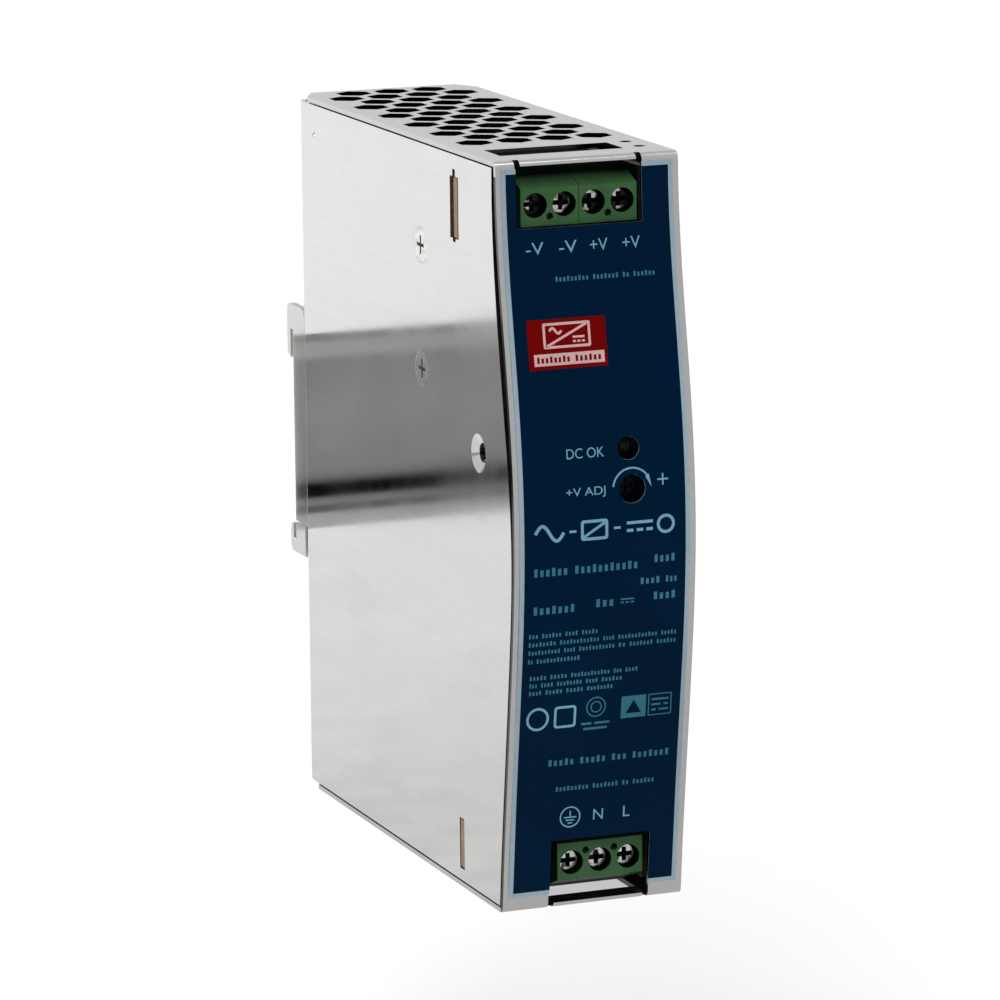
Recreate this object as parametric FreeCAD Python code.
import FreeCAD, Part
import math
import os

# DIN rail power supply, 24 V class, slim steel case. All sizes in millimetres.
# The model is drawn in case coordinates: x = 0 is the mid-plane, y = 0 the rear face with the
# front towards -y, and z = 0 the underside. save() then moves every piece so that the origin is
# the centre line of the mounting rail, in the plane where the rail's lips rest on the clip.

V = FreeCAD.Vector
os.makedirs("parts", exist_ok=True)

# ---- case -----------------------------------------------------------------------------------
WIDTH = 32.0
HEIGHT = 125.2
SHEET = 0.8                # case sheet thickness
HALF = WIDTH / 2
INNER_HALF = HALF - SHEET
FRONT_BEND = 1.2           # outer radius where the front meets the top and the underside
REAR_BEND = 1.8            # outer radius of the wrap's two upright corners
PANEL_GAP = 0.3            # slit between the wrap and the top or bottom panel
# depth of the bulging front at a few heights: (height, depth from the rear face)
FRONT_PROFILE = [(0.0, 95.2), (20.0, 97.5), (42.0, 100.4), (64.0, 102.0),
                 (84.0, 100.4), (106.0, 96.7), (HEIGHT, 95.1)]
# gap between the front sheet and the wrap's front edge at the same heights
SEAM_GAP = [0.5, 0.5, 0.5, 0.7, 1.8, 1.7, 0.9]

# ---- mounting rail and clip -----------------------------------------------------------------
RAIL_HEIGHT = 35.0         # top-hat rail, edge to edge
RAIL_Z = 61.5              # centre line of the rail
SEAT_Y = 6.2               # plane of the rail's lips, behind the rear face
LIP_GAP = 1.3              # slot that takes the 1 mm lip
HOOK_REAR = 9.2            # rearmost plane of the hooks
CLIP_SHEET = 1.2
CLIP_HALF = 15.5           # outer faces of the clip's flanges
LATCH_TRAVEL = 3.5
GUIDE_X = 9.0
GUIDE_Z = 54.0
GUIDE_R = 1.5
SPRING_R = 1.75            # mean radius of the latch spring
SPRING_WIRE = 0.5
SPRING_Y = 3.95
SPRING_LOW = 49.5
SPRING_HIGH = 62.0
SPRING_TURNS = 8

# ---- terminal blocks ------------------------------------------------------------------------
PITCH = 5.08
BLOCK_FRONT = -94.7        # face with the screw wells
BLOCK_REAR = -79.4
BLOCK_LOW = -3.4           # heights in a block are counted from the screw axes, towards the wires
BLOCK_FACE_TOP = 2.8
BLOCK_TOP = 6.0
BLOCK_SLOPE_END = -87.0
OUTPUT_RIGHT = 8.8
OUTPUT_SCREW_Z = 117.7
OUTPUT_WAYS = 4
INPUT_RIGHT = 9.25
INPUT_SCREW_Z = 7.3
INPUT_WAYS = 3
WELL_R = 2.05
SCREW_HEAD_R = 1.95
SCREW_R = 1.45
HEAD_FRONT = -92.9
RECESS_HALF = 0.4          # half the width of the cross recess in a screw head
RECESS_DEPTH = 1.3
WELL_FLOOR = -91.0
CAVITY_FRONT = -89.6
CAVITY_REAR = -81.0
CAVITY_HALF = 2.2
CAGE_HALF = 2.1
CAGE_WALL = 0.6
CAGE_FRONT = -86.95        # clamp open; it travels 2.5 mm towards the front to grip the wire
CAGE_REAR = -81.1
CAGE_HEIGHT = 2.0          # half height
BAR_FRONT = -85.9
BAR_THICK = 0.8
BAR_HALF = 1.1
TERMINAL_BOARD = (-77.6, -76.0)

# ---- main board -----------------------------------------------------------------------------
BOARD_X = (10.4, 12.0)
BOARD_FACE = 10.35         # parts on the board stop just short of its face
STANDOFFS = [(-8.0, 10.0), (-8.0, 116.0), (-68.0, 10.0), (-68.0, 116.0)]
SIDE_SCREWS = [(-60.4, 106.9), (-60.4, 85.9)]
COVER_SCREWS = [(-17.0, 118.6), (-55.0, 118.6), (-17.0, 6.6), (-55.0, 6.6)]
TRIMMER = (4.75, 71.2)     # x, z of the adjuster's axis
LAMP = (4.35, 77.9)        # x, z of the indicator's axis


# ---- helpers --------------------------------------------------------------------------------
def save(name, *solids):
    """Write one node, moved into the rail frame."""
    shape = solids[0].copy() if len(solids) == 1 else Part.makeCompound(list(solids))
    shape.translate(V(0, -SEAT_Y, -RAIL_Z))
    for solid in shape.Solids:
        if not solid.isValid() or solid.Volume <= 0:
            raise ValueError(name + " is not a valid solid")
    shape.exportStep("parts/" + name + ".step")


def box(x, y, z):
    """Box from three (low, high) pairs, given in any order."""
    low = V(min(x), min(y), min(z))
    return Part.makeBox(max(x) - min(x), max(y) - min(y), max(z) - min(z), low)


def rod(radius, start, end):
    """Cylinder between two points."""
    axis = V(*end) - V(*start)
    return Part.makeCylinder(radius, axis.Length, V(*start), axis)


def cone(radius_start, radius_end, start, end):
    axis = V(*end) - V(*start)
    return Part.makeCone(radius_start, radius_end, axis.Length, V(*start), axis)


def prism_x(outline, x_low, x_high):
    """Solid from a closed (y, z) outline, extruded along x."""
    points = [V(x_low, y, z) for y, z in outline]
    wire = Part.makePolygon(points + [points[0]])
    return Part.Face(wire).extrude(V(x_high - x_low, 0, 0))


def fuse(first, *others):
    return first.fuse(list(others)).removeSplitter()


def round_edges(shape, radius, test):
    """Fillet every edge whose two ends and middle pass the test."""
    picked = []
    for edge in shape.Edges:
        points = [edge.valueAt(edge.FirstParameter), edge.valueAt(edge.LastParameter)]
        points.append(edge.valueAt((edge.FirstParameter + edge.LastParameter) / 2))
        if all(test(point) for point in points):
            picked.append(edge)
    return shape.makeFillet(radius, picked)


def near(value, target, slack=0.01):
    return abs(value - target) < slack


def hexagon_prism(x, y, z_low, z_high, flats):
    """Upright hexagonal prism with two flats facing +x and -x."""
    reach = flats / math.sqrt(3)
    corners = []
    for step in range(6):
        angle = math.radians(90 + 60 * step)
        corners.append(V(x + reach * math.cos(angle), y + reach * math.sin(angle), z_low))
    face = Part.Face(Part.makePolygon(corners + [corners[0]]))
    return face.extrude(V(0, 0, z_high - z_low))


def front_curve(x, inset, gaps=None):
    """The front's bulging side line, moved back by inset, plus a gap at each height."""
    points = []
    for place, (height, depth) in enumerate(FRONT_PROFILE):
        extra = gaps[place] if gaps else 0.0
        points.append(V(x, -depth + inset + extra, height))
    curve = Part.BSplineCurve()
    curve.interpolate(points)
    return curve


def profile_block(x_low, x_high, inset, rear, gaps=None):
    """Block between the bulging front line and an upright plane at the rear."""
    curve = front_curve(x_low, inset, gaps)
    low = curve.StartPoint
    high = curve.EndPoint
    rear_low = V(x_low, rear, low.z)
    rear_high = V(x_low, rear, high.z)
    edges = [curve.toShape(), Part.makeLine(high, rear_high),
             Part.makeLine(rear_high, rear_low), Part.makeLine(rear_low, low)]
    return Part.Face(Part.Wire(edges)).extrude(V(x_high - x_low, 0, 0))


def board_box(height, y, z):
    """Box standing on the main board, reaching height towards the left wall."""
    return box((BOARD_FACE - height, BOARD_FACE), y, z)


# ---- case -----------------------------------------------------------------------------------
VENT_PITCH = 7.1
VENT_FLATS = 5.6
VENT_ROWS = 12
VENT_FIRST_Y = -4.4
FRONT_CUT_TOP = ((-12.7, 9.6), (113.95, 124.3))
FRONT_CUT_BOTTOM = ((-7.95, 10.0), (0.9, 12.0))
TOP_OPENING = ((-12.5, 9.2), (-88.4, -81.0))
BOTTOM_OPENING = ((-8.0, 9.6), (-90.6, -82.2))
RELIEF = 1.0               # width of the relief cuts beside each bent lip
RELIEF_REACH = 1.5         # how far the relief cuts run past the bend
TRIMMER_HOLE_R = 2.35
LAMP_HOLE_R = 1.9
TOP_HOLES = [(12.5, -81.3), (12.5, -87.1)]
TOP_HOLE_R = 0.95
MITRE_Y = -7.0             # where the panels' rear corners start to slant inwards
MITRE_X = 3.0
TAB_THICK = 0.8
TAB_HALF = 4.0
FILM = 0.15                # label thickness
FILM_X = (-15.1, 14.95)
FILM_Z = (2.5, 123.9)
DISH = (-86.3, 76.0)       # y, z of the dished fixing hole in the left side
DISH_HOLE_R = 1.6
DISH_R = 3.25
DISH_DEPTH = 0.8
DISH_COLLAR = 1.2          # length of the bore behind the dish
SIDE_SLOTS = [((-78.3, -74.5), (110.2, 120.5)), ((-76.9, -75.7), (109.6, 121.7)),
              ((-77.9, -75.8), (3.1, 11.9))]
DIMPLE = (-8.0, 119.0)
SIDE_HEAD_R = 3.1
SIDE_SHANK_R = 1.55
COVER_HEAD_R = 2.9
COVER_SHANK_R = 1.5
THROUGH = 4.0              # cutters run this far through a wall
BEYOND = 1.0               # and start this far outside it


def vents(z_low, z_high):
    """Staggered rows of three and four hexagonal vents."""
    holes = []
    row_step = VENT_PITCH * math.sqrt(3) / 2
    for row in range(VENT_ROWS):
        count = 3 + row % 2
        for place in range(count):
            x = (place - (count - 1) / 2) * VENT_PITCH
            y = VENT_FIRST_Y - row_step * row
            holes.append(hexagon_prism(x, y, z_low, z_high, VENT_FLATS))
    return holes


def countersunk(side, place, head_r, shank_r, reach):
    """Countersunk screw form entering the left (-1) or right (+1) wall."""
    y, z = place
    cone_depth = head_r - shank_r
    surface = side * HALF
    floor = side * (HALF - cone_depth)
    head = cone(head_r, shank_r, (surface, y, z), (floor, y, z))
    shank = rod(shank_r, (floor, y, z), (side * (HALF - reach), y, z))
    return fuse(head, shank)


def round_cut(radius, x, z):
    """Cutter for a round hole through the front."""
    return rod(radius, (x, -HEIGHT, z), (x, BLOCK_FRONT, z))


def mitre_cutter(side):
    """Wedge that slants the rear corners of the top and bottom panels."""
    corner = [V(side * (HALF + BEYOND), BEYOND, -BEYOND), V(side * (HALF + BEYOND), MITRE_Y, -BEYOND),
              V(side * (HALF - MITRE_X), BEYOND, -BEYOND)]
    face = Part.Face(Part.makePolygon(corner + [corner[0]]))
    return face.extrude(V(0, 0, HEIGHT + 2 * BEYOND))


def front_cutters():
    """Everything cut out of the front, top and underside of the strip."""
    ahead = (-HEIGHT, BLOCK_FRONT + 2.7)
    top = (HEIGHT - 2, HEIGHT + 2)
    under = (-2, 2)
    cutters = [box(FRONT_CUT_TOP[0], ahead, FRONT_CUT_TOP[1]),
               box(FRONT_CUT_BOTTOM[0], ahead, FRONT_CUT_BOTTOM[1]),
               box(TOP_OPENING[0], TOP_OPENING[1], top),
               box(BOTTOM_OPENING[0], BOTTOM_OPENING[1], under)]
    for (x_low, x_high), z in ((FRONT_CUT_TOP[0], HEIGHT), (FRONT_CUT_BOTTOM[0], 0.0)):
        for x in (x_low, x_high - RELIEF):
            relief = box((x, x + RELIEF), (-HEIGHT, BLOCK_FRONT + 1.1), (z - RELIEF_REACH, z + RELIEF_REACH))
            cutters.append(relief)
    cutters.append(round_cut(TRIMMER_HOLE_R, *TRIMMER))
    cutters.append(round_cut(LAMP_HOLE_R, *LAMP))
    cutters += [rod(TOP_HOLE_R, (x, y, top[0]), (x, y, top[1])) for x, y in TOP_HOLES]
    cutters += vents(*top)
    cutters += vents(*under)
    cutters += [mitre_cutter(side) for side in (-1, 1)]
    return cutters


def cover_tab(y, z):
    """Tab hanging from the top or bottom panel, behind the right side, for one cover screw."""
    outward = 1 if z > RAIL_Z else -1
    x = (INNER_HALF - 0.1 - TAB_THICK, INNER_HALF - 0.1)
    panel = HEIGHT - 0.4 if outward > 0 else 0.4
    return box(x, (y - TAB_HALF, y + TAB_HALF), (z - outward * 3.6, panel))


def front_shell():
    """One strip of sheet: top panel, bulging front and underside, with two tabs on each panel."""
    outer = profile_block(-HALF, HALF, 0, -0.1)
    outer = round_edges(outer, FRONT_BEND, lambda p: p.y < -90 and (near(p.z, 0) or near(p.z, HEIGHT)))
    inner = profile_block(-HALF - BEYOND, HALF + BEYOND, SHEET, BEYOND)
    inner = inner.common(box((-WIDTH, WIDTH), (-HEIGHT, 2), (SHEET, HEIGHT - SHEET)))
    shell = fuse(outer.cut(inner), *[cover_tab(y, z) for y, z in COVER_SCREWS])
    cutters = front_cutters()
    cutters += [countersunk(1, place, COVER_HEAD_R, COVER_SHANK_R, THROUGH) for place in COVER_SCREWS]
    return shell.cut(cutters).removeSplitter()


def dish(wrap):
    """Press a dished hole with a short collar into the left side."""
    y, z = DISH
    wall = -INNER_HALF
    floor = -HALF + DISH_DEPTH
    end = floor + DISH_COLLAR
    bulge = cone(DISH_R + 0.35, DISH_HOLE_R + 0.75, (wall - 0.2, y, z), (end - 0.4, y, z))
    collar = rod(DISH_HOLE_R + 0.8, (end - 0.6, y, z), (end, y, z))
    hollow = cone(DISH_R, DISH_HOLE_R, (-HALF, y, z), (floor, y, z))
    hole = rod(DISH_HOLE_R, (-HALF, y, z), (-HALF + THROUGH, y, z))
    return fuse(wrap, bulge, collar).cut([hollow, hole])


def body_wrap():
    """Left side, rear and right side in one piece of sheet, tucked behind the strip."""
    z_low = SHEET + PANEL_GAP
    z_high = HEIGHT - SHEET - PANEL_GAP
    outer = box((-HALF, HALF), (-110, 0), (z_low, z_high))
    outer = round_edges(outer, REAR_BEND, lambda p: near(p.y, 0) and near(abs(p.x), HALF))
    inner = box((-INNER_HALF, INNER_HALF), (-111, -SHEET), (0, HEIGHT))
    bend = REAR_BEND - SHEET
    inner = round_edges(inner, bend, lambda p: near(p.y, -SHEET) and near(abs(p.x), INNER_HALF))
    front_line = profile_block(-HALF - BEYOND, HALF + BEYOND, SHEET, BEYOND, SEAM_GAP)
    wrap = dish(outer.cut(inner).common(front_line))
    left = (-HALF - BEYOND, -INNER_HALF + BEYOND)
    cutters = [box(left, y, z) for y, z in SIDE_SLOTS]
    cutters.append(rod(0.6, (left[0], *DIMPLE), (-HALF + 0.3, *DIMPLE)))
    cutters += [countersunk(-1, place, SIDE_HEAD_R, SIDE_SHANK_R, THROUGH) for place in SIDE_SCREWS]
    cutters += [countersunk(1, place, COVER_HEAD_R, COVER_SHANK_R, THROUGH) for place in COVER_SCREWS]
    for x, z in RIVETS:
        cutters.append(rod(RIVET_R + 0.05, (x, -3, z), (x, 1, z)))
    for x in (-GUIDE_X, GUIDE_X):
        cutters.append(rod(GUIDE_R + 0.02, (x, -3, GUIDE_Z), (x, 1, GUIDE_Z)))
    return wrap.cut(cutters)


def front_label():
    """Printed film on the front, notched round the cut-outs."""
    sheet = profile_block(*FILM_X, -FILM, -90).cut(profile_block(-HALF, HALF, 0, -89))
    ahead = (-HEIGHT, -80)
    margin = 0.12
    cutters = []
    for (x_low, x_high), (z_low, z_high) in (FRONT_CUT_TOP, FRONT_CUT_BOTTOM):
        upper = z_low > RAIL_Z
        z = (z_low - margin, HEIGHT) if upper else (0, z_high + margin)
        cutters.append(box((x_low - margin, x_high + margin), ahead, z))
    for place, radius in ((TRIMMER, TRIMMER_HOLE_R), (LAMP, LAMP_HOLE_R)):
        cutters.append(round_cut(radius + 0.15, *place))
    return sheet.common(box(FILM_X, ahead, FILM_Z)).cut(cutters)


def cross_recess(x, y, z, direction, size):
    """Cutter for a cross recess in a screw head that faces along direction (-1 or +1) of x."""
    arm = size / 2
    slit = 0.3
    x_span = (x - direction * size * 0.45, x + direction)
    return [box(x_span, (y - arm, y + arm), (z - slit, z + slit)),
            box(x_span, (y - slit, y + slit), (z - arm, z + arm))]


def wall_screws(side, places, head_r, shank_r, reach):
    """Countersunk screws with a cross recess, a hair below the surface of the left or right wall."""
    clearance = 0.04
    inside = box((-HALF + 0.02, HALF - 0.02), (-HEIGHT, 0), (0, HEIGHT))
    screws = []
    for y, z in places:
        body = countersunk(side, (y, z), head_r - clearance, shank_r - clearance, reach)
        body = body.common(inside)
        screws.append(body.cut(cross_recess(side * HALF, y, z, side, 3.2)))
    return screws


# ---- rail clip ------------------------------------------------------------------------------
RIVETS = [(-10.0, 68.0), (10.0, 68.0), (-10.0, 82.5), (10.0, 82.5)]
RIVET_R = 1.6
BASE_Y = (0.05, 0.05 + CLIP_SHEET)
LATCH_Y = (1.35, 1.35 + CLIP_SHEET)
LIP_LOW = RAIL_Z - RAIL_HEIGHT / 2
LIP_HIGH = RAIL_Z + RAIL_HEIGHT / 2


def rail_bracket():
    """Channel of sheet steel with a hook on each flange for the rail's upper lip."""
    top = 86.5
    bottom = 47.2
    hook_inner = SEAT_Y + LIP_GAP
    outline = [(BASE_Y[0], bottom), (SEAT_Y, bottom), (SEAT_Y, LIP_HIGH + 3.0),
               (hook_inner, LIP_HIGH + 3.0), (hook_inner, LIP_HIGH - 2.2), (HOOK_REAR, LIP_HIGH - 1.6),
               (HOOK_REAR, top), (BASE_Y[0], top)]
    flanges = []
    for side in (-1, 1):
        flange = prism_x(outline, side * CLIP_HALF, side * (CLIP_HALF - CLIP_SHEET))
        flange = round_edges(flange, 2.0, lambda p: near(p.y, BASE_Y[0]) and near(p.z, top))
        flange = round_edges(flange, 1.2, lambda p: near(p.y, HOOK_REAR) and near(p.z, top))
        flanges.append(flange)
    base = box((-CLIP_HALF + 0.5, CLIP_HALF - 0.5), BASE_Y, (bottom, top - 2.2))
    tongue = box((-11.0, 11.0), BASE_Y, (41.5, bottom + 1))
    seat = box((-2.3, 2.3), (BASE_Y[0], 6.0), (SPRING_LOW - CLIP_SHEET, SPRING_LOW))
    bracket = fuse(base, tongue, seat, *flanges)
    cutters = [rod(RIVET_R + 0.05, (x, -1, z), (x, 3, z)) for x, z in RIVETS]
    cutters += [rod(GUIDE_R + 0.02, (x, -1, GUIDE_Z), (x, 3, GUIDE_Z)) for x in (-GUIDE_X, GUIDE_X)]
    cutters.append(box((-3.4, 3.4), (-1, 3), (SPRING_LOW + 0.6, SPRING_HIGH + 2.5)))
    cutters.append(box((-7.5, 7.5), (-1, 3), (70.0, 78.0)))
    return bracket.cut(cutters)


def clip_rivets():
    rivets = []
    for x, z in RIVETS:
        shank = rod(RIVET_R, (x, -1.6, z), (x, BASE_Y[1], z))
        head = rod(2.9, (x, BASE_Y[1] + 0.02, z), (x, BASE_Y[1] + 0.9, z))
        head = round_edges(head, 0.5, lambda p, x=x, z=z: near(p.y, BASE_Y[1] + 0.9))
        neck = rod(RIVET_R, (x, BASE_Y[1], z), (x, BASE_Y[1] + 0.1, z))
        tail = rod(2.3, (x, -1.7, z), (x, -SHEET - 0.02, z))
        mandrel_hole = rod(0.8, (x, 0, z), (x, 5, z))
        rivets.append(fuse(shank, head, neck, tail).cut(mandrel_hole))
    return rivets


def rail_latch():
    """Sliding plate with two ears that snap behind the rail's lower lip."""
    hook_inner = SEAT_Y + LIP_GAP
    ear_low = 41.3
    ear = [(LATCH_Y[0], ear_low), (8.2, ear_low), (9.0, ear_low + 0.9), (9.0, 45.2), (8.3, 46.4),
           (hook_inner, 46.4), (hook_inner, LIP_LOW - 0.1), (SEAT_Y, LIP_LOW - 0.1), (SEAT_Y, 46.8),
           (LATCH_Y[0], 46.8)]
    ears = [prism_x(ear, side * CLIP_HALF, side * (CLIP_HALF - CLIP_SHEET)) for side in (-1, 1)]
    bridge = box((-CLIP_HALF + 0.6, CLIP_HALF - 0.6), LATCH_Y, (ear_low, 46.8))
    plate = box((-13.0, 13.0), LATCH_Y, (45.0, 65.0))
    pull = box((-6.0, 6.0), LATCH_Y, (36.0, 42.0))
    pull = round_edges(pull, 1.5, lambda p: near(p.z, 36.0) and near(abs(p.x), 6.0))
    seat = box((-2.3, 2.3), (LATCH_Y[0], 6.0), (SPRING_HIGH, SPRING_HIGH + CLIP_SHEET))
    window = box((-2.7, 2.7), (0, 4), (SPRING_LOW - CLIP_SHEET - 0.2, SPRING_HIGH))
    cutters = [window, box((-3.0, 3.0), (0, 4), (37.6, 39.4))]
    for x in (-GUIDE_X, GUIDE_X):
        slot_r = GUIDE_R + 0.05
        cutters.append(rod(slot_r, (x, 0, GUIDE_Z), (x, 4, GUIDE_Z)))
        cutters.append(rod(slot_r, (x, 0, GUIDE_Z + LATCH_TRAVEL), (x, 4, GUIDE_Z + LATCH_TRAVEL)))
        cutters.append(box((x - slot_r, x + slot_r), (0, 4), (GUIDE_Z, GUIDE_Z + LATCH_TRAVEL)))
    body = fuse(bridge, plate, pull, *ears).cut(cutters)
    return fuse(body, seat)


def latch_guides():
    """Shoulder rivets that the latch slides on."""
    guides = []
    head_y = LATCH_Y[1] + 0.08
    for x in (-GUIDE_X, GUIDE_X):
        shank = rod(GUIDE_R, (x, -1.6, GUIDE_Z), (x, head_y + 0.2, GUIDE_Z))
        head = rod(2.7, (x, head_y, GUIDE_Z), (x, head_y + 1.0, GUIDE_Z))
        head = round_edges(head, 0.4, lambda p: near(p.y, head_y + 1.0))
        tail = rod(2.3, (x, -1.7, GUIDE_Z), (x, -SHEET - 0.02, GUIDE_Z))
        guides.append(fuse(shank, head, tail))
    return guides


def latch_spring():
    """Compression spring that pushes the latch up against the rail."""
    wire_r = SPRING_WIRE / 2
    height = SPRING_HIGH - SPRING_LOW - SPRING_WIRE - 0.04
    helix = Part.makeHelix(height / SPRING_TURNS, height, SPRING_R)
    circle = Part.makeCircle(wire_r, V(SPRING_R, 0, 0), V(0, 1, 0))
    sweep = Part.Wire(helix.Edges).makePipeShell([Part.Wire([circle])], True, True)
    sweep.translate(V(0, SPRING_Y, SPRING_LOW + wire_r + 0.02))
    return sweep if sweep.ShapeType == "Solid" else Part.Solid(sweep.Shells[0])


# ---- terminal blocks ------------------------------------------------------------------------
class Block:
    """Places of one terminal block. Heights run from the screw axes towards the wire entries."""

    def __init__(self, right, screw_z, ways, up):
        self.left = right - ways * PITCH
        self.right = right
        self.screw_z = screw_z
        self.up = up
        self.ways = [self.left + PITCH * (place + 0.5) for place in range(ways)]

    def z(self, height):
        return self.screw_z + self.up * height

    def span(self, low, high):
        return (self.z(low), self.z(high))


OUTPUT = Block(OUTPUT_RIGHT, OUTPUT_SCREW_Z, OUTPUT_WAYS, 1)
INPUT = Block(INPUT_RIGHT, INPUT_SCREW_Z, INPUT_WAYS, -1)
PIN_LOW = -2.95
PIN_HIGH = -2.25


def housing(block, x_low, x_high, pips):
    """Moulded block with a screw well, a cage pocket and a wire entry for each way."""
    outline = [(BLOCK_FRONT, block.z(BLOCK_LOW)), (BLOCK_FRONT, block.z(BLOCK_FACE_TOP)),
               (BLOCK_SLOPE_END, block.z(BLOCK_TOP)), (BLOCK_REAR, block.z(BLOCK_TOP)),
               (BLOCK_REAR, block.z(BLOCK_LOW))]
    body = prism_x(outline, x_low, x_high)
    cutters = []
    for x in block.ways:
        if not x_low < x < x_high:
            continue
        z = block.z(0)
        cutters.append(rod(WELL_R, (x, BLOCK_FRONT - 1, z), (x, WELL_FLOOR, z)))
        cutters.append(rod(SCREW_R + 0.1, (x, BLOCK_FRONT, z), (x, CAVITY_FRONT + 0.5, z)))
        pocket = (x - CAVITY_HALF, x + CAVITY_HALF)
        cutters.append(box(pocket, (CAVITY_FRONT, CAVITY_REAR), block.span(-2.1, 2.1)))
        cutters.append(box((x - 1.9, x + 1.9), (-84.9, -81.9), block.span(2.0, BLOCK_TOP + 1)))
        cutters.append(box((x - 2.15, x + 2.15), (-85.5, -81.3), block.span(BLOCK_TOP - 1.0, BLOCK_TOP + 1)))
        cutters.append(box((x - 1.15, x + 1.15), (BAR_FRONT - 0.05, BLOCK_REAR + 1), block.span(-3.0, -2.05)))
    for x in pips:
        cutters.append(rod(0.6, (x, BLOCK_FRONT - 1, block.z(-1.9)), (x, BLOCK_FRONT + 1.6, block.z(-1.9))))
    return body.cut(cutters)


def output_housings():
    """Two two-way modules side by side."""
    middle = (OUTPUT.left + OUTPUT.right) / 2
    gap = 0.05
    left = housing(OUTPUT, OUTPUT.left, middle - gap, [OUTPUT.left + PITCH])
    right = housing(OUTPUT, middle + gap, OUTPUT.right, [OUTPUT.right - PITCH])
    return [left, right]


def input_housing():
    return housing(INPUT, INPUT.left, INPUT.right, [INPUT.left + PITCH, INPUT.right - PITCH])


def terminal_screw(block, x):
    z = block.z(0)
    head = rod(SCREW_HEAD_R, (x, HEAD_FRONT, z), (x, WELL_FLOOR - 0.05, z))
    head = round_edges(head, 0.3, lambda p: near(p.y, HEAD_FRONT))
    shank = rod(SCREW_R, (x, WELL_FLOOR - 0.1, z), (x, BAR_FRONT - 0.03, z))
    depth = (HEAD_FRONT - 1, HEAD_FRONT + RECESS_DEPTH)
    slots = [box((x - 1.45, x + 1.45), depth, (z - RECESS_HALF, z + RECESS_HALF)),
             box((x - RECESS_HALF, x + RECESS_HALF), depth, (z - 1.2, z + 1.2))]
    return fuse(head, shank).cut(slots)


def clamp_cage(block, x):
    """Open-ended cage that the screw draws forward onto the wire."""
    z = block.z(0)
    outer = box((x - CAGE_HALF, x + CAGE_HALF), (CAGE_FRONT, CAGE_REAR), (z - CAGE_HEIGHT, z + CAGE_HEIGHT))
    hollow_half = CAGE_HALF - CAGE_WALL
    hollow = box((x - hollow_half, x + hollow_half), (CAGE_FRONT + 1.0, CAGE_REAR - 0.7), (z - 5, z + 5))
    thread = rod(SCREW_R + 0.05, (x, CAGE_FRONT - 1, z), (x, CAGE_FRONT + 2, z))
    return outer.cut([hollow, thread])


def terminal_pin(block, x):
    """Current bar inside the cage, with a leg soldered into the terminal board."""
    bar = box((x - BAR_HALF, x + BAR_HALF), (BAR_FRONT, BAR_FRONT + BAR_THICK), block.span(PIN_LOW, 1.9))
    leg = box((x - 0.8, x + 0.8), (BAR_FRONT, TERMINAL_BOARD[1] + 1.2), block.span(PIN_LOW, PIN_HIGH))
    return fuse(bar, leg)


def terminal_board(block, height, tab):
    """Small board behind a terminal block, located by a tab in the left wall."""
    board = box((-14.9, BOARD_FACE), TERMINAL_BOARD, height)
    board = fuse(board, box((-HALF + 0.1, -14), TERMINAL_BOARD, tab))
    slack = 0.03
    holes = []
    for x in block.ways:
        z_low, z_high = block.span(PIN_LOW, PIN_HIGH)
        span = (min(z_low, z_high) - slack, max(z_low, z_high) + slack)
        holes.append(box((x - 0.8 - slack, x + 0.8 + slack), (-80, -70), span))
    return board.cut(holes)


# ---- main board and what holds it -----------------------------------------------------------
def main_board():
    board = box(BOARD_X, (-91.5, -3.0), (2.5, 122.7))
    holes = [rod(1.6, (5, y, z), (15, y, z)) for y, z in STANDOFFS]
    return board.cut(holes)


def insulation_sheet():
    sheet = box((13.4, 13.7), (-92.0, -2.5), (9.0, 116.5))
    holes = [rod(3.0, (5, y, z), (15, y, z)) for y, z in STANDOFFS]
    return sheet.cut(holes)


def board_standoffs():
    posts = []
    for y, z in STANDOFFS:
        post = rod(2.6, (BOARD_X[1] + 0.02, y, z), (INNER_HALF - 0.02, y, z))
        posts.append(post.cut(rod(1.45, (5, y, z), (INNER_HALF - 0.5, y, z))))
    return posts


def board_screws():
    screws = []
    for y, z in STANDOFFS:
        head = rod(2.7, (BOARD_X[0] - 1.8, y, z), (BOARD_X[0] - 0.02, y, z))
        shank = rod(1.4, (BOARD_X[0] - 0.5, y, z), (BOARD_X[1] + 2.4, y, z))
        screws.append(fuse(head, shank).cut(cross_recess(BOARD_X[0] - 1.8, y, z, -1, 2.6)))
    return screws


# ---- input side -----------------------------------------------------------------------------
def input_fuse():
    x, y = BOARD_FACE - 3.0, -84.0
    tube = rod(2.5, (x, y, 23.0), (x, y, 38.0))
    caps = [rod(2.75, (x, y, low), (x, y, low + 5.0)) for low in (20.0, 36.0)]
    return fuse(tube, *caps)


def disc_part(radius, thickness, y, z):
    """Disc standing on its edge on the main board, with two legs."""
    x = BOARD_FACE - radius - 1.2
    disc = rod(radius, (x, y, z), (x, y, z + thickness))
    disc = round_edges(disc, thickness * 0.3, lambda p: near(p.z, z) or near(p.z, z + thickness))
    legs = []
    for dy in (-2.5, 2.5):
        start = (x, y + dy, z + thickness / 2)
        legs.append(rod(0.4, start, (BOARD_FACE, y + dy, z + thickness / 2)))
    return fuse(disc, *legs)


def x_capacitors():
    bodies = [board_box(12.0, (-62.0, -46.0), (low, low + 6.5)) for low in (17.0, 26.0)]
    return [round_edges(body, 0.6, lambda p: near(p.x, BOARD_FACE - 12.0)) for body in bodies]


CHOKE = (-33.0, 27.0)
INDUCTOR = (-38.0, 106.0)


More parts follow.
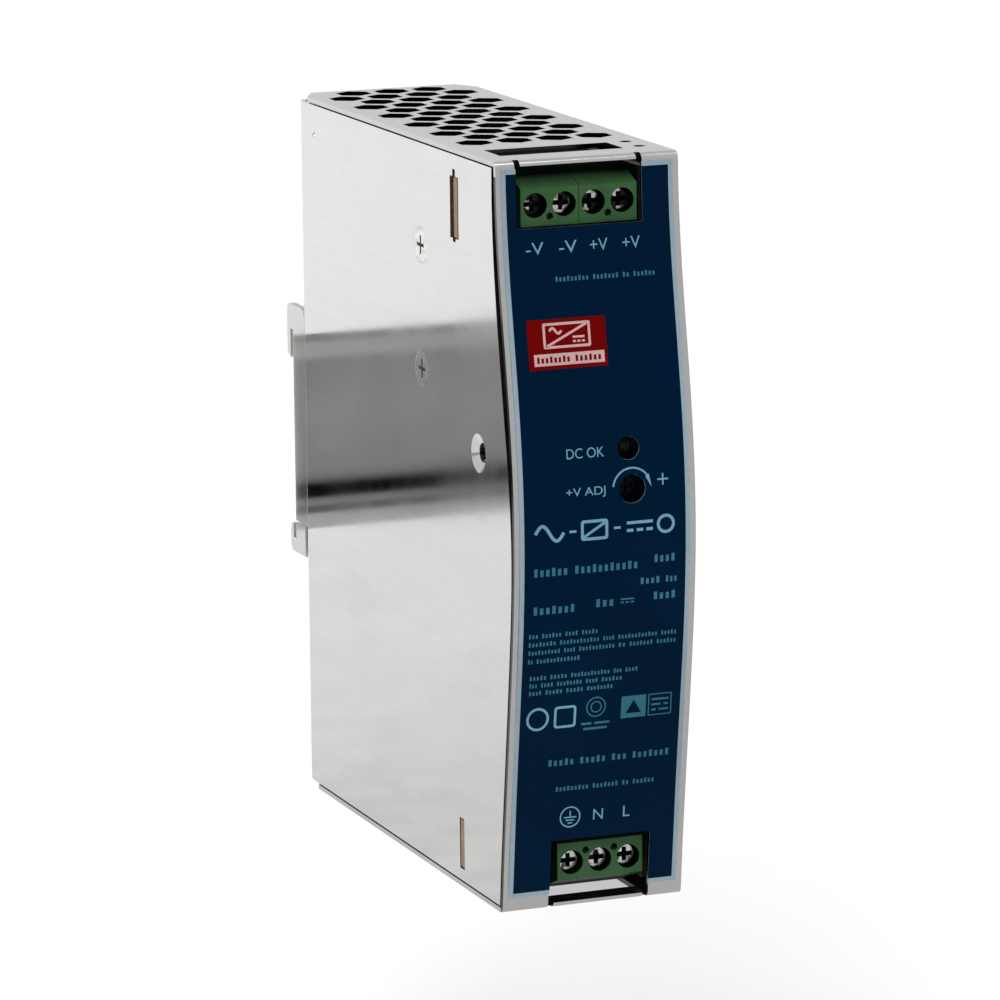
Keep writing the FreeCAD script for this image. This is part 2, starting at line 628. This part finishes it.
def toroid_core(centre, outer_r, inner_r, x_low, x_high):
    y, z = centre
    hole = rod(inner_r, (x_low - 1, y, z), (x_high + 1, y, z))
    ring = rod(outer_r, (x_low, y, z), (x_high, y, z)).cut(hole)
    return round_edges(ring, 0.8, lambda p: near(p.x, x_low) or near(p.x, x_high))


def toroid_winding(centre, outer_r, inner_r, x_low, x_high, start_deg, end_deg, core):
    """Turns of wire round part of a ring core: one rounded wrap with a groove between turns."""
    y, z = centre
    sweep_deg = end_deg - start_deg
    turns = max(4, int(math.radians(sweep_deg) * inner_r / 1.25))
    step = math.radians(sweep_deg) / turns
    half = inner_r * step * 0.47
    x_mid = (x_low + x_high) / 2
    x_half = (x_high - x_low) / 2
    solids = []
    for turn in range(turns):
        angle = math.radians(start_deg) + step * (turn + 0.5)
        block = box((x_low, x_high), (inner_r, outer_r), (-half, half))
        block = round_edges(block, half * 0.8,
                            lambda p: near(abs(p.z), half) and near(abs(p.x - x_mid), x_half))
        block.rotate(V(0, 0, 0), V(1, 0, 0), math.degrees(angle))
        block.translate(V(0, y, z))
        solids.append(block)
    return [solid.cut(core) for solid in solids]


def bulk_capacitor():
    x, z = BOARD_FACE - 9.1, 48.0
    can = rod(9.0, (x, -48.0, z), (x, -14.0, z))
    can = round_edges(can, 1.0, lambda p: near(p.y, -48.0) or near(p.y, -14.0))
    groove = Part.makeTorus(9.3, 0.9, V(x, -17.5, z), V(0, 1, 0))
    return can.cut(groove)


def bridge_rectifier():
    body = board_box(14.0, (-88.5, -84.5), (45.0, 63.0))
    return round_edges(body, 0.5, lambda p: near(p.x, BOARD_FACE - 14.0))


# ---- power stage ----------------------------------------------------------------------------
def mosfet_heatsink():
    plate = box((-12.0, BOARD_FACE), (-80.5, -78.2), (44.0, 66.0))
    fins = [box((x, x + 1.2), (-84.0, -80.0), (44.0, 66.0)) for x in (-12.0, -8.4, -4.8)]
    return fuse(plate, *fins)


def power_mosfet():
    body = box((-4.6, 5.4), (-78.15, -73.7), (47.5, 56.8))
    tab = box((-4.6, 5.4), (-78.15, -76.85), (56.0, 63.0))
    hole = rod(1.8, (0.4, -80, 60.0), (0.4, -70, 60.0))
    return fuse(body, tab).cut(hole)


CORE_X = (-11.0, 10.2)
CORE_Y = (-44.0, -17.0)
CORE_Z = (64.0, 90.0)
POST_R = 5.4


def transformer_core():
    """Two E-shaped ferrite halves meeting at the middle."""
    middle_x = (CORE_X[0] + CORE_X[1]) / 2
    centre = ((CORE_Y[0] + CORE_Y[1]) / 2, (CORE_Z[0] + CORE_Z[1]) / 2)
    plate = 4.5
    leg = 4.0
    halves = []
    for side in (-1, 1):
        x_end = CORE_X[0] if side < 0 else CORE_X[1]
        x_plate = x_end - side * plate
        x_mid = middle_x + side * 0.05
        back = box((x_end, x_plate), CORE_Y, CORE_Z)
        legs = [box((x_plate, x_mid), (y, y + leg), CORE_Z) for y in (CORE_Y[0], CORE_Y[1] - leg)]
        post = rod(POST_R, (x_plate, *centre), (x_mid, *centre))
        halves.append(fuse(back, post, *legs))
    return halves


def transformer_bobbin():
    y = (CORE_Y[0] + CORE_Y[1]) / 2
    z = (CORE_Z[0] + CORE_Z[1]) / 2
    low = CORE_X[0] + 4.6
    high = CORE_X[1] - 4.6
    tube = rod(POST_R + 1.0, (low, y, z), (high, y, z))
    flanges = [rod(9.3, (x, y, z), (x + 0.8, y, z)) for x in (low, high - 0.8)]
    return fuse(tube, *flanges).cut(rod(POST_R + 0.1, (low - 1, y, z), (high + 1, y, z)))


def transformer_winding():
    y = (CORE_Y[0] + CORE_Y[1]) / 2
    z = (CORE_Z[0] + CORE_Z[1]) / 2
    low = CORE_X[0] + 5.45
    high = CORE_X[1] - 5.45
    hole = rod(POST_R + 1.05, (low - 1, y, z), (high + 1, y, z))
    return rod(8.9, (low, y, z), (high, y, z)).cut(hole)


def chip(y, z, legs_per_side, height):
    """Moulded chip lying on the board, with its legs along two edges and a dimple at one end."""
    face = BOARD_FACE - height
    y_mid = (y[0] + y[1]) / 2
    dimple = rod(0.6, (face - 1, y_mid, z[0] + 1.1), (face + 0.3, y_mid, z[0] + 1.1))
    body = board_box(height, y, z).cut(dimple)
    leg_x = (BOARD_FACE - height / 2, BOARD_FACE)
    legs = []
    for place in range(legs_per_side):
        leg_z = z[0] + (place + 0.5) * (z[1] - z[0]) / legs_per_side
        for y_low in (y[0] - 0.8, y[1] - 0.1):
            legs.append(box(leg_x, (y_low, y_low + 0.9), (leg_z - 0.3, leg_z + 0.3)))
    return fuse(body, *legs)


# ---- output side ----------------------------------------------------------------------------
SPREADER_X = (-INNER_HALF + 0.05, -11.7)
RECTIFIER_X = -11.35


def heat_spreader():
    bar = box(SPREADER_X, (-69.0, -52.0), (80.0, 121.0))
    return bar.cut([countersunk(-1, place, SIDE_HEAD_R, SIDE_SHANK_R, 10) for place in SIDE_SCREWS])


def thermal_pad():
    pad = box((SPREADER_X[1] + 0.02, RECTIFIER_X - 0.02), (-67.0, -54.0), (81.0, 120.5))
    return pad.cut([rod(1.8, (-16, y, z), (-5, y, z)) for y, z in SIDE_SCREWS])


def output_rectifiers():
    devices = []
    for y, z in SIDE_SCREWS:
        tab = box((RECTIFIER_X, RECTIFIER_X + 1.3), (y - 5, y + 5), (z - 3.4, z + 4.0))
        body = box((RECTIFIER_X, RECTIFIER_X + 4.4), (y - 5, y + 5), (z + 3.4, z + 12.6))
        devices.append(fuse(tab, body).cut(rod(1.6, (-15, y, z), (-5, y, z))))
    return devices


def rectifier_nuts():
    nuts = []
    for y, z in SIDE_SCREWS:
        corners = []
        for step in range(6):
            angle = math.radians(60 * step)
            corners.append(V(RECTIFIER_X + 1.33, y + 3.1 * math.cos(angle), z + 3.1 * math.sin(angle)))
        face = Part.Face(Part.makePolygon(corners + [corners[0]]))
        nuts.append(face.extrude(V(2.3, 0, 0)).cut(rod(1.55, (-15, y, z), (0, y, z))))
    return nuts


def output_capacitors():
    cans = []
    for y, z in ((-21.0, 99.0), (-21.0, 110.5), (-10.0, 104.5)):
        can = rod(4.9, (BOARD_FACE - 20.0, y, z), (BOARD_FACE, y, z))
        can = round_edges(can, 0.6, lambda p: near(p.x, BOARD_FACE - 20.0) or near(p.x, BOARD_FACE))
        groove = Part.makeTorus(5.1, 0.6, V(BOARD_FACE - 2.2, y, z), V(1, 0, 0))
        cans.append(can.cut(groove))
    return cans


# ---- adjuster and indicator -----------------------------------------------------------------
def trimmer_body():
    x, z = TRIMMER
    body = box((x - 3.4, BOARD_FACE), (-97.0, -86.0), (z - 4.4, z + 4.4))
    return body.cut(rod(1.82, (x, -98, z), (x, -93.9, z)))


def trimmer_rotor():
    x, z = TRIMMER
    rotor = rod(1.75, (x, -98.6, z), (x, -94.0, z))
    rotor = round_edges(rotor, 0.2, lambda p: near(p.y, -98.6))
    slots = [box((x - 1.3, x + 1.3), (-99, -98.0), (z - 0.3, z + 0.3)),
             box((x - 0.3, x + 0.3), (-99, -98.0), (z - 1.3, z + 1.3))]
    return rotor.cut(slots)


def status_lamp():
    x, z = LAMP
    barrel = rod(1.5, (x, -98.2, z), (x, -93.9, z))
    dome = Part.makeSphere(1.5, V(x, -98.2, z))
    flange = rod(1.8, (x, -94.4, z), (x, -93.4, z))
    return fuse(barrel, dome, flange)


def lamp_spacer():
    x, z = LAMP
    return box((x - 2.1, BOARD_FACE), (-93.35, -86.0), (z - 1.9, z + 2.1))


# ---- write every node -----------------------------------------------------------------------
def write_case():
    save("front_shell", front_shell())
    save("body_wrap", body_wrap())
    save("front_label", front_label())
    save("side_screws", *wall_screws(-1, SIDE_SCREWS, SIDE_HEAD_R, SIDE_SHANK_R, 9.0))
    save("cover_screws", *wall_screws(1, COVER_SCREWS, COVER_HEAD_R, COVER_SHANK_R, 2.3))


def write_clip():
    save("rail_bracket", rail_bracket())
    save("clip_rivets", *clip_rivets())
    save("rail_latch", rail_latch())
    save("latch_guides", *latch_guides())
    save("latch_spring", latch_spring())


def write_terminals():
    save("output_terminal_housing", *output_housings())
    save("input_terminal_housing", input_housing())
    pins = []
    for block, name in ((OUTPUT, "output"), (INPUT, "input")):
        for place, x in enumerate(block.ways):
            save(name + "_screw_" + str(place + 1), terminal_screw(block, x))
            save(name + "_cage_" + str(place + 1), clamp_cage(block, x))
            pins.append(terminal_pin(block, x))
    save("terminal_pins", *pins)
    save("output_terminal_board", terminal_board(OUTPUT, (108.5, 123.2), (110.4, 120.3)))
    save("input_terminal_board", terminal_board(INPUT, (2.0, 16.0), (3.4, 11.6)))


def write_boards():
    save("main_board", main_board())
    save("insulation_sheet", insulation_sheet())
    save("board_standoffs", *board_standoffs())
    save("board_screws", *board_screws())


def write_electronics():
    save("input_fuse", input_fuse())
    save("varistor", disc_part(5.0, 4.0, -71.0, 19.0))
    save("inrush_thermistor", disc_part(4.6, 4.0, -71.0, 27.0))
    save("x_capacitors", *x_capacitors())
    save("y_capacitors", *[disc_part(3.4, 3.0, -12.0, z) for z in (18.0, 25.0, 32.0)])
    choke = toroid_core(CHOKE, 9.6, 5.6, 1.4, 8.4)
    save("choke_core", choke)
    turns = []
    for start in (20.0, 200.0):
        turns += toroid_winding(CHOKE, 10.7, 4.5, 0.4, 9.4, start, start + 140.0, choke)
    save("choke_winding", *turns)
    save("bridge_rectifier", bridge_rectifier())
    save("bulk_capacitor", bulk_capacitor())
    save("mosfet_heatsink", mosfet_heatsink())
    save("power_mosfet", power_mosfet())
    save("transformer_core", *transformer_core())
    save("transformer_bobbin", transformer_bobbin())
    save("transformer_winding", transformer_winding())
    save("control_chip", chip((-66.0, -60.0), (68.0, 78.0), 4, 3.2))
    save("optocoupler", chip((-55.0, -49.0), (70.0, 75.0), 2, 3.6))
    save("heat_spreader", heat_spreader())
    save("thermal_pad", thermal_pad())
    save("output_rectifiers", *output_rectifiers())
    save("rectifier_nuts", *rectifier_nuts())
    inductor = toroid_core(INDUCTOR, 9.0, 5.2, -0.6, 8.2)
    save("inductor_core", inductor)
    save("inductor_winding", *toroid_winding(INDUCTOR, 10.2, 4.0, -1.8, 9.4, 15.0, 345.0, inductor))
    save("output_capacitors", *output_capacitors())


def write_front_parts():
    save("trimmer_body", trimmer_body())
    save("trimmer_rotor", trimmer_rotor())
    save("status_lamp", status_lamp())
    save("lamp_spacer", lamp_spacer())


write_case()
write_clip()
write_terminals()
write_boards()
write_electronics()
write_front_parts()
